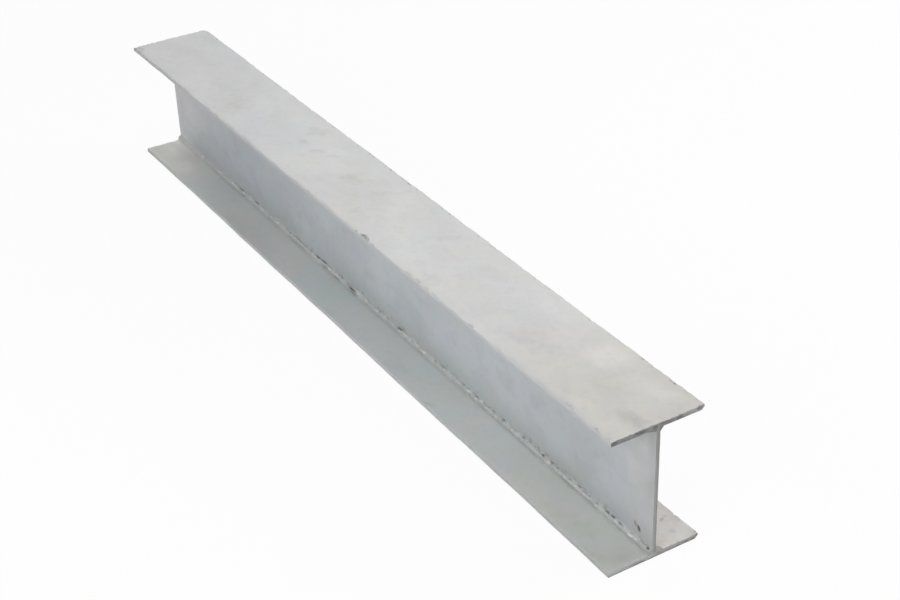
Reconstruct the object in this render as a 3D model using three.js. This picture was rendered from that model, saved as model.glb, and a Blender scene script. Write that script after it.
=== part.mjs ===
// Welded steel I-beam: two flange plates, a web plate between them and four fillet welds.
//
// Millimetres, +Z up. The length runs along X and the width of the flanges along Y. The origin
// is on the floor under the middle of the beam, on the underside of the bottom flange. Left is
// -Y and right is +Y, as seen by someone who looks at the beam's +X end.

import * as THREE from 'three';

// ---- Driving dimensions ----

const beamLength = 1000;
const beamDepth = 145; // from the underside of the bottom flange to the top face
const flangeWidth = 100;
const flangeThickness = 5;
const webThickness = 4;

// Fit-up gap between the plates, and between the weld metal and the plates it joins.
const seatGap = 0.3;

// The long edges of the flanges are cut by torch, so they wander a little and have a soft arris.
// On the left edge of the top flange the torch has also melted the upper arris, here and there.
const edgeWander = 0.9; // from the widest place to the narrowest, on one edge
const edgeRadius = 0.8;
const arrisMelt = 1.4; // added to the radius where the arris is melted most
const edgeStep = 10; // between two sections of a flange plate

// Fillet welds: the reach is measured along the flange and the rise along the web, and the crown
// stands out of the chord between the two toes.
const topLeftWeldReach = 6.2;
const topLeftWeldRise = 4.5;
const topRightWeldReach = 4;
const topRightWeldRise = 5.4;
const bottomLeftWeldReach = 3.6;
const bottomLeftWeldRise = 5;
const bottomRightWeldReach = 6.8;
const bottomRightWeldRise = 6.4;
const weldCrown = 0.8;
const weldLump = 0.5; // how far reach, rise and crown swell and shrink about their mean
const lumpPitch = 17; // from one lump of weld metal to the next
const slowSwellPitch = 46; // a slower swell lies under the lumps
const slowSwellShare = 0.4;
const weldStep = 5; // between two sections of a bead

// ---- Places worked out from the dimensions ----

const farEnd = -beamLength / 2;
const nearEnd = beamLength / 2;
const bottomFlangeTop = flangeThickness;
const topFlangeUnderside = beamDepth - flangeThickness;
const webHeight = topFlangeUnderside - bottomFlangeTop - 2 * seatGap;
const webFace = webThickness / 2;

const quarterTurn = Math.PI / 2;
const largestRadius = 0.45 * flangeThickness; // leaves a flat strip between two arrises
const shortWaveShare = 0.4; // of an edge's two waves

const galvanisedPlate = new THREE.MeshStandardMaterial({
  color: '#bcbebc',
  roughness: 0.62,
  metalness: 0.55,
});

const weldMetal = new THREE.MeshStandardMaterial({
  color: '#a4a6a2',
  roughness: 0.7,
  metalness: 0.55,
});

// ---- Shape helpers ----

// Evenly spaced places along X from one end of the beam to the other.
function placesAlongBeam(step) {
  const count = Math.max(2, Math.round(beamLength / step));
  return Array.from({ length: count + 1 }, (_, i) => farEnd + (beamLength * i) / count);
}

// Closed solid through one section for each place along X. sectionAt gives a convex outline of
// (y, z) points, and every outline has as many points as the first.
function loftAlongBeam(places, sectionAt) {
  const sections = places.map(sectionAt);
  if (THREE.ShapeUtils.isClockWise(sections[0])) {
    sections.forEach((section) => section.reverse());
  }
  const points = sections[0].length;
  const positions = [];
  sections.forEach((section, i) => {
    section.forEach((point) => positions.push(places[i], point.x, point.y));
  });

  const faces = [];
  for (let start = 0; start < (places.length - 1) * points; start += points) {
    for (let k = 0; k < points; k += 1) {
      const here = start + k;
      const next = start + ((k + 1) % points);
      faces.push(here, next, next + points);
      faces.push(here, next + points, here + points);
    }
  }
  const lastStart = (places.length - 1) * points;
  for (let k = 1; k < points - 1; k += 1) {
    faces.push(0, k + 1, k);
    faces.push(lastStart, lastStart + k, lastStart + k + 1);
  }

  const geometry = new THREE.BufferGeometry();
  geometry.setAttribute('position', new THREE.Float32BufferAttribute(positions, 3));
  geometry.setIndex(faces);
  geometry.computeVertexNormals();
  return geometry;
}

// ---- Flange plates ----

// How far the torch has strayed inward at a place along the beam, from 0 to 1. It is 0 at the far
// end, and two waves whose lengths don't match make it wander from there on.
function strayAt(x, { longWaves, shortWaves }) {
  const turn = (2 * Math.PI * (x - farEnd)) / beamLength;
  const longWave = (1 - Math.cos(longWaves * turn)) / 2;
  const shortWave = (1 - Math.cos(shortWaves * turn)) / 2;
  return THREE.MathUtils.lerp(longWave, shortWave, shortWaveShare);
}

// Section of a flange plate: a rectangle with soft arrises, between two edges that stray.
function flangeSection(x, leftEdge, rightEdge) {
  const left = edgeWander * strayAt(x, leftEdge) - flangeWidth / 2;
  const right = flangeWidth / 2 - edgeWander * strayAt(x, rightEdge);
  const halfThickness = flangeThickness / 2;
  const soft = Math.min(edgeRadius, largestRadius);
  const melted = Math.min(edgeRadius + leftEdge.melt * strayAt(x, leftEdge), largestRadius);
  const corners = [
    { y: right - soft, z: halfThickness - soft, radius: soft },
    { y: left + melted, z: halfThickness - melted, radius: melted },
    { y: left + soft, z: soft - halfThickness, radius: soft },
    { y: right - soft, z: soft - halfThickness, radius: soft },
  ];
  const outline = new THREE.Path();
  corners.forEach(({ y, z, radius }, i) => {
    outline.absarc(y, z, radius, i * quarterTurn, (i + 1) * quarterTurn);
  });
  return outline.getPoints(1).filter(isNewPoint);
}

// Leaves out a point of a closed outline that lies on the one before it.
function isNewPoint(point, i, outline) {
  const before = outline[(i + outline.length - 1) % outline.length];
  return point.distanceTo(before) > 1e-6;
}

function flangePlate(name, middleHeight, leftEdge, rightEdge) {
  const geometry = loftAlongBeam(placesAlongBeam(edgeStep), (x) =>
    flangeSection(x, leftEdge, rightEdge),
  );
  const plate = new THREE.Mesh(geometry, galvanisedPlate);
  plate.name = name;
  plate.position.z = middleHeight;
  return plate;
}

// ---- Web plate ----

function webPlate() {
  const plate = new THREE.Mesh(
    new THREE.BoxGeometry(beamLength, webThickness, webHeight),
    galvanisedPlate,
  );
  plate.name = 'web_plate';
  plate.position.z = beamDepth / 2;
  return plate;
}

// ---- Fillet welds ----

// Swell of the bead at a place along the beam, between -1 and 1.
function lumpAt(x, phase) {
  const along = 2 * Math.PI * (x - farEnd);
  const lump = Math.sin(along / lumpPitch + phase);
  const slowSwell = Math.sin(along / slowSwellPitch + 2 * phase);
  return THREE.MathUtils.lerp(lump, slowSwell, slowSwellShare);
}

// Section of a bead in its corner: the root, the toe on the flange, the crown and the toe on the
// web. outward is the way along the flange from the web, and upward the way along the web.
function beadSection(x, { reach, rise, phase, outward, upward }) {
  const toeOnFlange = reach + weldLump * lumpAt(x, phase);
  const toeOnWeb = rise + weldLump * lumpAt(x, phase + 2);
  const crown = weldCrown + weldLump * lumpAt(x, phase + 1);
  const chord = Math.hypot(toeOnFlange, toeOnWeb);
  const section = [new THREE.Vector2(0, 0)];
  const faceSteps = 4;
  for (let i = 0; i <= faceSteps; i += 1) {
    const share = i / faceSteps;
    const bulge = (4 * share * (1 - share) * crown) / chord;
    const out = (1 - share) * toeOnFlange + bulge * toeOnWeb;
    const up = share * toeOnWeb + bulge * toeOnFlange;
    section.push(new THREE.Vector2(outward * out, upward * up));
  }
  return section;
}

function weldBead(name, fillet) {
  const { outward, upward } = fillet;
  const geometry = loftAlongBeam(placesAlongBeam(weldStep), (x) => beadSection(x, fillet));
  const bead = new THREE.Mesh(geometry, weldMetal);
  bead.name = name;
  bead.position.y = outward * (webFace + seatGap);
  bead.position.z =
    upward > 0 ? bottomFlangeTop + seatGap : topFlangeUnderside - seatGap;
  return bead;
}

// ---- The beam ----

const beam = new THREE.Group();
beam.name = 'i_beam';
beam.add(
  flangePlate(
    'bottom_flange_plate',
    flangeThickness / 2,
    { longWaves: 3, shortWaves: 11, melt: 0 },
    { longWaves: 4, shortWaves: 13 },
  ),
  flangePlate(
    'top_flange_plate',
    beamDepth - flangeThickness / 2,
    { longWaves: 5, shortWaves: 17, melt: arrisMelt },
    { longWaves: 2, shortWaves: 9 },
  ),
  webPlate(),
  weldBead('weld_bead_bottom_left', {
    reach: bottomLeftWeldReach,
    rise: bottomLeftWeldRise,
    phase: 0,
    outward: -1,
    upward: 1,
  }),
  weldBead('weld_bead_bottom_right', {
    reach: bottomRightWeldReach,
    rise: bottomRightWeldRise,
    phase: 1.3,
    outward: 1,
    upward: 1,
  }),
  weldBead('weld_bead_top_left', {
    reach: topLeftWeldReach,
    rise: topLeftWeldRise,
    phase: 2.6,
    outward: -1,
    upward: -1,
  }),
  weldBead('weld_bead_top_right', {
    reach: topRightWeldReach,
    rise: topRightWeldRise,
    phase: 3.9,
    outward: 1,
    upward: -1,
  }),
);

export default beam;
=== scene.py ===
"""Welded steel I-beam: plates with a dull zinc coat and the fillet welds that join them."""

import math
import random
from functools import reduce

import bmesh
import bpy
from mathutils import Matrix, Vector, noise


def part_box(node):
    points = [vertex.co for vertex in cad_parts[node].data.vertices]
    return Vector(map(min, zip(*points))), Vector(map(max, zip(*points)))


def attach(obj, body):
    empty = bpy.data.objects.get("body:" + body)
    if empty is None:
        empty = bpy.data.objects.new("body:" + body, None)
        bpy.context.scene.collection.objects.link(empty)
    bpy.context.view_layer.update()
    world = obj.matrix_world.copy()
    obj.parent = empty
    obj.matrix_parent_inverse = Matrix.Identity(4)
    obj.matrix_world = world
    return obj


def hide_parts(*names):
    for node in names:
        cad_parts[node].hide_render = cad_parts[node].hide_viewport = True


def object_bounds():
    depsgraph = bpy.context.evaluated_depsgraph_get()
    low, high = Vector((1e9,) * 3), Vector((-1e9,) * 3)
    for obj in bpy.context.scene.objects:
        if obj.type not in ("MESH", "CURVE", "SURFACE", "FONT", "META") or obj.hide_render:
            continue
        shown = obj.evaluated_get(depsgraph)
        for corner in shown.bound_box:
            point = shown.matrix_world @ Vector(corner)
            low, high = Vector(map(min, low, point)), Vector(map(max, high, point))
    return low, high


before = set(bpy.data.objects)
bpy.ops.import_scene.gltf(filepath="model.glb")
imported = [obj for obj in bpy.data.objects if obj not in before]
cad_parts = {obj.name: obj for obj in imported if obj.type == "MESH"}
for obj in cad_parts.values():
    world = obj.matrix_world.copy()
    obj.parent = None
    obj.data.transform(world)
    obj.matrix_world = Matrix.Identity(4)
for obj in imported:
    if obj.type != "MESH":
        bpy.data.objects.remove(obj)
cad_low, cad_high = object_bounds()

bl_info = {
    "name": "Welded I-Beam",
    "version": (1, 0, 0),
    "blender": (4, 5, 0),
    "location": "View3D > Sidebar > I-Beam",
    "description": "Dresses a welded I-beam with its zinc coat, its cut edges and its weld beads",
    "category": "Object",
}

BODY = "root"

TOP_FLANGE = "top_flange_plate"
BOTTOM_FLANGE = "bottom_flange_plate"
WEB = "web_plate"
FAR_END = cad_low.x
NEAR_END = cad_high.x
HALF_WIDTH = cad_high.y
LEFT, RIGHT = -1, 1
SEAM_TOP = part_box(BOTTOM_FLANGE)[1].z  # where the web stands on the bottom flange


# ---- Settings ----


def setting_kind(kind=bpy.props.FloatProperty, **options):
    """Gives a function that makes settings of one kind."""

    def setting(description, default):
        return kind(description=description, default=default, **options)

    return setting


metres = setting_kind(min=0.0, unit="LENGTH", precision=5)
fraction = setting_kind(min=0.0, max=1.0, subtype="FACTOR")
watts = setting_kind(min=0.0, subtype="POWER")
radians = setting_kind(subtype="ANGLE")
focal_length = setting_kind(unit="CAMERA")
rgb = setting_kind(bpy.props.FloatVectorProperty, size=3, min=0.0, max=1.0, subtype="COLOR")


class PlateSettings(bpy.types.PropertyGroup):
    station: metres("Distance between two sections of a flange plate", 0.00125)
    web_station: metres("Distance between two sections of the web plate", 0.004)
    stray: metres("How far the torch has strayed into the cut edges", 0.0010)
    stray_size: metres("Length of one stray", 0.022)
    chip: metres("Depth of the small chips in the cut edges", 0.0008)
    chip_size: metres("Length of one chip", 0.007)
    droop: metres("How far the upper arris has melted down", 0.0004)
    bite: metres("Depth of the deepest single bite in the top edges", 0.0030)
    end_arris: metres("How far the arrises of the cut ends are rubbed down", 0.0005)
    slant: metres("How far the torch has cut in under the right edges", 0.0030)
    far_cut: metres("Depth of the teeth in the far end's upper arris", 0.0020)
    near_cut: metres("Depth of the teeth in the near end's upper arris", 0.0016)


class WeldSettings(bpy.types.PropertyGroup):
    station: metres("Distance between two sections of a bead", 0.0005)
    ripple_pitch: metres("Distance between two ripples", 0.0026)
    ripple: metres("Height of a ripple", 0.0002)
    ripple_bow: metres("How far a ripple's middle runs ahead", 0.0018)
    ridge: metres("Height of the crown's ridge", 0.0007)
    lump: metres("Height of the small lumps on a bead", 0.0008)
    lump_size: metres("Length of the small lumps on a bead", 0.0045)
    pit: metres("Depth of a pit in the toe on the web", 0.0010)
    pit_pitch: metres("Mean distance between two pits", 0.008)
    drop: metres("Height of a drop of zinc on the crown", 0.0006)
    drop_pitch: metres("Mean distance between two drops", 0.009)


class FinishSettings(bpy.types.PropertyGroup):
    top_zinc: rgb("Coat of the top flange", (0.660, 0.660, 0.657))
    # Painted shade: the torch-cut sides are painted darker and bluer than the top, down to the tone
    # of the shaded web.
    edge_zinc_and_shade: rgb("Coat of the torch-cut edges", (0.578, 0.583, 0.589))
    # Painted shade: the web's zinc is darker than the top's, as the web stands in shade under the
    # top flange; it is also bluer.
    web_zinc: rgb("Coat of the web", (0.559, 0.590, 0.613))
    bottom_zinc: rgb("Coat of the bottom flange", (0.637, 0.664, 0.658))
    # Painted light: the beige stain on the bottom right is painted lighter than zinc, for the light
    # that falls in under the top flange.
    beige_zinc_and_light: rgb("Stained coat on the bottom right", (0.72, 0.678, 0.642))
    weld_zinc: rgb("Coat of the weld metal", (0.50, 0.518, 0.512))
    cut_steel: rgb("Sawn ends of the plates", (0.335, 0.335, 0.330))
    # Dark paint for the bottoms of pits, nicks and crevices, which is painted shade; the same dark
    # also colours the scratches and the dark spots on the cut ends.
    soot: rgb("Bottom of a pit, a nick or a crevice", (0.07, 0.072, 0.068))
    cloudiness: fraction("Strength of the clouds in the coat", 0.018)
    hue_drift: fraction("Strength of the warm, cool, lilac and green patches", 0.008)


class StageSettings(bpy.types.PropertyGroup):
    azimuth: radians("Turn from the left side to the near end", math.radians(59.296))
    elevation: radians("Height of the view over the horizon", math.radians(31.634))
    roll: radians("Turn of the camera about its own axis", math.radians(-2.074))
    distance: metres("Distance of the camera along its axis", 1.8792)
    aside: metres("Camera's place to the right", 0.08444)
    upward: metres("Camera's place upward", 0.0100)
    lens: focal_length("Focal length on a 36 mm sensor", 68.94)
    floor_width: metres("Width of the square floor", 12.0)
    floor_white: fraction("Share of the floor's white that no shadow dims", 0.95)
    ambient: fraction("Strength of the even light from all round", 0.16)
    overhead_lamp: watts("Power of the lamp overhead", 6.6)
    far_lamp: watts("Power of the lamp behind the far end, on the right", 8.0)
    right_lamp: watts("Power of the lamp on the right", 37.0)
    left_lamp: watts("Power of the lamp on the left", 3.5)
    near_lamp: watts("Power of the lamp on the left of the near end", 9.0)


# ---- Modelling helpers ----


def go_to(mode):
    bpy.ops.object.mode_set(mode=mode)


def deselect_all():
    if bpy.context.mode != "OBJECT":
        go_to("OBJECT")
    bpy.ops.object.select_all(action="DESELECT")


def box_piece(name, low, high):
    """Adds a cube primitive and stretches its mesh from one corner to the other."""
    deselect_all()
    bpy.ops.mesh.primitive_cube_add(size=1.0, location=(0.0, 0.0, 0.0))
    piece = bpy.context.object
    piece.name = name
    piece.data.name = name
    go_to("EDIT")
    bpy.ops.mesh.select_all(action="SELECT")
    bpy.ops.transform.resize(value=high - low)
    bpy.ops.transform.translate(value=(low + high) / 2)
    go_to("OBJECT")
    return piece


def select_parts(piece, kind, wanted):
    """Goes into edit mode with exactly the wanted points or edges selected."""
    go_to("EDIT")
    bpy.ops.mesh.select_mode(type=kind)
    bpy.ops.mesh.select_all(action="DESELECT")
    mesh = bmesh.from_edit_mesh(piece.data)
    for part in mesh.verts if kind == "VERT" else mesh.edges:
        part.select_set(wanted(part))
    bmesh.update_edit_mesh(piece.data)


def cut_across(piece, axis, places):
    """Cuts the piece by a plane across the axis at each place, and keeps both sides."""
    normal = Vector((0.0, 0.0, 0.0))
    normal[axis] = 1.0
    go_to("EDIT")
    for place in places:
        bpy.ops.mesh.select_all(action="SELECT")
        bpy.ops.mesh.bisect(plane_co=normal * place, plane_no=normal)
    go_to("OBJECT")


def from_both_sides(low, high, offsets):
    """Places at the offsets from both ends."""
    return [low + offset for offset in offsets] + [high - offset for offset in reversed(offsets)]


def slice_along(piece, spacing):
    """Cuts the piece across X into slices of about the given thickness, in two goes."""
    slices = (NEAR_END - FAR_END) / spacing
    parts = max(2, round(math.sqrt(slices)))

    def is_long_run(edge):
        way = edge.verts[1].co - edge.verts[0].co
        return abs(way.x) > 0.99 * way.length and way.length > 1.5 * spacing

    for _ in range(2):
        select_parts(piece, "EDGE", is_long_run)
        bpy.ops.mesh.subdivide(number_cuts=parts - 1)
        go_to("OBJECT")


def apply_modifier(piece, modifier):
    """Applies the modifier, once the new weights have reached what it works on."""
    bpy.context.view_layer.objects.active = piece
    piece.data.update_tag()
    piece.update_tag(refresh={"OBJECT", "DATA"})
    bpy.context.view_layer.update()
    bpy.ops.object.modifier_apply(modifier=modifier.name)


def wrap_to_node(piece, node, group=None):
    """Draws the piece's surface onto the CAD node, so that it takes the node's waves."""
    wrap = piece.modifiers.new("Wrap", "SHRINKWRAP")
    wrap.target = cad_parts[node]
    wrap.wrap_method = "NEAREST_SURFACEPOINT"
    if group:
        wrap.vertex_group = group.name
    apply_modifier(piece, wrap)


def weight_group(piece, name, weights):
    """Vertex group from one weight for each vertex."""
    group = piece.vertex_groups.new(name=name)
    for index, weight in enumerate(weights):
        if weight > 0.0:
            group.add([index], min(1.0, weight), "REPLACE")
    return group


def relief(piece, name, weights, height, direction="NORMAL", clouds_size=None):
    """Moves the surface by weight and height, evenly or by a cloud noise from 0 to 1."""
    step = piece.modifiers.new(name, "DISPLACE")
    step.direction = direction
    step.strength = height
    step.mid_level = 0.0
    step.vertex_group = weight_group(piece, name, weights).name
    if clouds_size:
        clouds = bpy.data.textures.new(piece.name + "_" + name, "CLOUDS")
        clouds.noise_scale = clouds_size
        clouds.noise_depth = 2
        step.texture = clouds
        step.texture_coords = "LOCAL"
    apply_modifier(piece, step)


def paint_attribute(piece, name, values):
    layer = piece.data.attributes.new(name, "FLOAT", "POINT")
    layer.data.foreach_set("value", values)


def smooth_step(value, start, end):
    share = min(1.0, max(0.0, (value - start) / (end - start)))
    return share * share * (3.0 - 2.0 * share)


def bell(value, middle, reach):
    """1 in the middle, falling softly to 0 at the reach on both sides."""
    return 1.0 - smooth_step(abs(value - middle), 0.0, reach)


# Units of the columns in the tables of marks, bites and spots.
MM, PERCENT = 1000, 100
MARK_UNITS = (MM, MM, MM, MM, 1, None, PERCENT)
BITE_UNITS = (MM, MM, MM, PERCENT, PERCENT)
SMALL_UNITS = (MM, MM, MM, MM, PERCENT)
BEAD_UNITS = (MM, MM, PERCENT, PERCENT, MM)


def table(units, rows):
    """The rows in metres and in shares of one, given in millimetres and in percent."""
    return tuple(
        tuple(part / unit if unit else part for part, unit in zip(row, units)) for row in rows
    )


BINS_PER_METRE = 50
END_DEPTH = 0.0022  # how far from its end a face may lie and still belong to the cut
END_TILT = 0.4  # how much along X such a face looks, at least
SMOOTH_PLATE, SMOOTH_BEAD = 50.0, 60.0  # degrees between two faces that are shaded as one


def in_bins(spots):
    """The spots by their bin along the beam, each in its own bin and in both its neighbours."""
    bins = {}
    for spot in spots:
        middle = round(spot[0] * BINS_PER_METRE)
        for index in (middle - 1, middle, middle + 1):
            bins.setdefault(index, []).append(spot)
    return bins


def end_points(piece):
    """The indices of the points of the far and the near cut end."""
    points = list(enumerate(vertex.co.x for vertex in piece.data.vertices))
    return [{index for index, x in points if abs(x - end) < 1e-6} for end in (FAR_END, NEAR_END)]


def flatten_ends(piece, ends):
    """Presses the points of both cut ends back onto the planes of the cuts."""
    for end, indices in zip((FAR_END, NEAR_END), ends):
        select_parts(piece, "VERT", lambda vertex: vertex.index in indices)
        bpy.ops.transform.resize(value=(0.0, 1.0, 1.0), center_override=(end, 0.0, 0.0))
        go_to("OBJECT")


def hand_over(piece, node, coat, sawn_end, angle):
    """Paints and shades the finished piece and puts it in the place of its CAD node."""
    piece.data.materials.append(coat)
    piece.data.materials.append(sawn_end)
    for face in piece.data.polygons:
        if abs(face.normal.x) > END_TILT and abs(face.center.x) > NEAR_END - END_DEPTH:
            face.material_index = 1
    deselect_all()
    piece.select_set(True)
    bpy.context.view_layer.objects.active = piece
    bpy.ops.object.shade_smooth_by_angle(angle=math.radians(angle))
    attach(piece, BODY)
    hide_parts(node)
    deselect_all()


# ---- Materials ----

WHITE = (1.0, 1.0, 1.0)


def shade(colour, factor):
    return tuple(min(1.0, part * factor) for part in colour)


def about_y(degrees):
    return (0.0, math.radians(degrees), 0.0)


def feed(node, inputs):
    """Sets or links inputs of the node. A colour may leave out its alpha."""
    for key, value in inputs.items():
        socket = node.inputs[key]
        if isinstance(value, bpy.types.NodeSocket):
            node.id_data.links.new(value, socket)
        elif socket.type == "RGBA":
            socket.default_value = (*value[:3], 1.0)
        else:
            socket.default_value = value


def add_node(tree, kind, inputs=None, **settings):
    node = tree.nodes.new("ShaderNode" + kind)
    for key, value in settings.items():
        setattr(node, key, value)
    feed(node, inputs or {})
    return node


def work_out(tree, operation, *values):
    """Output of a math node on the values."""
    inputs = dict(enumerate(values))
    return add_node(tree, "Math", inputs, operation=operation).outputs[0]


class Finish:
    """A node material whose paint is laid on in layers, by the object's own coordinates."""

    def __init__(self, name):
        self.material = bpy.data.materials.new(name)
        self.material.use_nodes = True
        self.tree = self.material.node_tree
        self.shader = self.tree.nodes["Principled BSDF"]
        self.place = self.add("TexCoord").outputs["Object"]
        self.x, self.y, self.z = self.add("SeparateXYZ", {0: self.place}).outputs
        self.paint = WHITE

    def add(self, kind, inputs=None, **settings):
        return add_node(self.tree, kind, inputs, **settings)

    def mapped(self, centre=(0, 0, 0), turn=(0, 0, 0), size=(1, 1, 1), place=None):
        inputs = {"Location": centre, "Rotation": turn, "Scale": size}
        inputs["Vector"] = place or self.place
        return self.add("Mapping", inputs, vector_type="TEXTURE").outputs[0]

    def ragged_place(self, size, reaches):
        """The object's own coordinates, pushed to and fro so that a spot's outline is ragged."""
        clouds = self.add("TexNoise", {"Vector": self.place, "Scale": 1.0 / size})
        inputs = {0: clouds.outputs["Color"], 1: (0.5, 0.5, 0.5)}
        push = self.add("VectorMath", inputs, operation="SUBTRACT").outputs[0]
        inputs = {0: push, 1: reaches, 2: self.place}
        return self.add("VectorMath", inputs, operation="MULTIPLY_ADD").outputs[0]

    def clouds(self, size, detail=3.0, stretch=(1, 1, 1), turn=(0, 0, 0), distortion=0.0):
        """Noise from 0 to 1 whose clouds are about the given size, stretched along the axes."""
        inputs = {"Vector": self.mapped(turn=turn, size=stretch), "Scale": 1.0 / size}
        inputs.update(Detail=detail, Distortion=distortion)
        return self.add("TexNoise", inputs).outputs["Fac"]

    def ramp(self, value, low, high, to_low=0.0, to_high=1.0):
        limits = zip(("From Min", "From Max", "To Min", "To Max"), (low, high, to_low, to_high))
        inputs = {"Value": value, **dict(limits)}
        return self.add("MapRange", inputs, interpolation_type="SMOOTHSTEP").outputs[0]

    def times(self, first, second):
        return work_out(self.tree, "MULTIPLY", first, second)

    def mix(self, share, first, second, blend="MIX"):
        """Colour between first, where share is 0, and second, where it is 1."""
        inputs = {0: share, 6: first, 7: second}
        return self.add("Mix", inputs, data_type="RGBA", blend_type=blend).outputs[2]

    def where(self, *shares, **spans):
        """Product of the shares and of a ramp for each span, as in x=(from, to, low, high)."""
        ramps = [self.ramp(getattr(self, field), *span) for field, span in spans.items()]
        return reduce(self.times, (*shares, *ramps))

    def overlay(self, colour, *shares, **spans):
        """Covers the paint with the colour, as far as the shares and spans go."""
        self.paint = self.mix(self.where(*shares, **spans), self.paint, colour)

    def stain(self, tinge, *shares, **spans):
        """Multiplies the paint by the tinge, as far as the shares and spans go."""
        self.paint = self.mix(self.where(*shares, **spans), self.paint, tinge, "MULTIPLY")

    def spot(self, centre, sizes, strength=1.0, fade=(0.0, 0.7), turn=(0, 0, 0), place=None):
        """Soft spot: the strength in its middle, and 0 at the ends of its half sizes."""
        inputs = {"Vector": self.mapped(centre, turn, sizes, place)}
        gradient = self.add("TexGradient", inputs, gradient_type="SPHERICAL")
        return self.ramp(gradient.outputs["Fac"], *fade, 0.0, strength)

    def band(self, middle, reach, strength=0.9):
        """Soft band across the beam: the strength in its middle and 0 beyond its reach."""
        return self.spot((middle, 0.0, 0.0), (reach, 1.0, 1.0), strength, (0.0, 1.0))

    def attribute(self, name):
        return self.add("Attribute", attribute_name=name).outputs["Fac"]

    def bump(self, *layers):
        """Chains one bump for each (height, strength, distance)."""
        normal = {}
        for height, strength, distance in layers:
            inputs = {"Height": height, "Strength": strength, "Distance": distance, **normal}
            normal = {"Normal": self.add("Bump", inputs).outputs["Normal"]}
        feed(self.shader, normal)

    def surface(self, roughness, metallic):
        """Closes the material with its paint."""
        inputs = {"Base Color": self.paint, "Roughness": roughness, "Metallic": metallic}
        feed(self.shader, inputs)
        return self.material


# How red, green and blue drift in the coat, and by which clouds.
HUE_DRIFTS = (
    ((0.5, 0.0, -1.3), {"warmth": (0.46, 0.64)}),
    ((-0.9, -0.2, 0.8), {"warmth": (0.54, 0.36)}),
    ((0.7, -0.5, 0.9), {"lilac": (0.47, 0.65)}),
    ((-0.9, 0.2, -0.6), {"lilac": (0.53, 0.35)}),
)


class ZincCoat(Finish):
    """Dull hot-dip zinc: soft clouds, a drift from hue to hue, fine grain and marks."""

    def __init__(self, name, colour, settings, flow_share=1.0, edge_shade_fade=(0.38, 0.47, 0.955)):
        super().__init__(name)
        self.edge_shade_fade = edge_shade_fade  # painted shade on the sides: it grows from one place to another and keeps its level from there on
        self.soot = settings.soot
        self.edge_zinc_and_shade = settings.edge_zinc_and_shade
        self.broad = self.clouds(0.10, 2.0, stretch=(1.5, 1.0, 1.0), distortion=0.5)
        self.flow = self.clouds(0.030, stretch=(1.4, 1.0, 1.0), distortion=0.4)
        self.dapple = self.clouds(0.0075)
        self.grain = self.clouds(0.0013, 2.0)
        self.warmth = self.clouds(0.022, 1.0, stretch=(1.3, 1.0, 1.0))
        self.lilac = self.clouds(0.037, 1.0, distortion=0.6)
        cloudy = settings.cloudiness
        vivid = 0.8 * flow_share * cloudy
        self.paint = shade(colour, 1.0 - vivid)
        self.overlay(shade(colour, 1.0 + vivid), broad=(0.38, 0.62))
        self.stain(shade(WHITE, 1.0 - 1.4 * flow_share * cloudy), flow=(0.52, 0.36))
        self.stain(shade(WHITE, 1.0 - 1.6 * cloudy), dapple=(0.50, 0.68))
        self.stain(shade(WHITE, 1.0 - 1.5 * cloudy), grain=(0.52, 0.75))
        for drifts, spans in HUE_DRIFTS:
            self.stain([1.0 + settings.hue_drift * drift for drift in drifts], **spans)

    def marks(self, spots, level, axis=2, push=0.022):
        """Ragged blotches on the face at a level on an axis, each turned about that axis."""
        reaches, turns = [push] * 3, [0.0] * 3
        reaches[axis] = 0.0
        ragged = self.ragged_place(0.014, reaches)
        broken = self.ramp(self.dapple, 0.32, 0.62, 0.45, 1.0)
        for along, across, half_length, half_width, turn, colour, strength in spots:
            centre, sizes = [along, across, across], [half_length, half_width, half_width]
            centre[axis], sizes[axis] = level, MARK_DEPTH
            turns[axis] = math.radians(turn)
            spot = self.spot(centre, sizes, strength, (0.0, 0.8), turns, ragged)
            self.overlay(colour, spot, broken)

    def finished(self):
        """Adds the edges' zinc, darkened as painted shade, the soot and painted shade in their
        bites, and closes the material.
        """
        edge, edge_zinc_and_shade = self.attribute("edge"), self.edge_zinc_and_shade
        begin, end, level = self.edge_shade_fade
        # The sides' zinc, darkened further towards the near end, is painted shade.
        cloudy = self.where(flow=(0.35, 0.65))
        edge_paint = self.mix(cloudy, shade(edge_zinc_and_shade, 0.96), shade(edge_zinc_and_shade, 1.04))
        dimmed = self.mix(self.where(x=(begin, end)), edge_paint, shade(WHITE, level), "MULTIPLY")
        self.overlay(dimmed, edge)
        # Soot and painted shade in the bites of the arris.
        self.overlay(self.soot, self.ramp(self.attribute("grime"), 0.0, 1.0))
        drag = self.times(self.clouds(0.0011, 1.0, stretch=(1.0, 1.0, 12.0)), edge)
        self.bump((self.flow, 0.12, 0.0005), (self.grain, 0.1, 0.0002), (drag, 0.5, 0.0003))
        return self.surface(self.where(flow=(0.3, 0.7, 0.60, 0.72)), 0.2)


RUN_WANDER = 0.0024  # how far the lower border of the zinc on a cut end wanders
DARK_SPOT_DEPTH = 0.01  # half size of a dark spot along the beam


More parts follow.
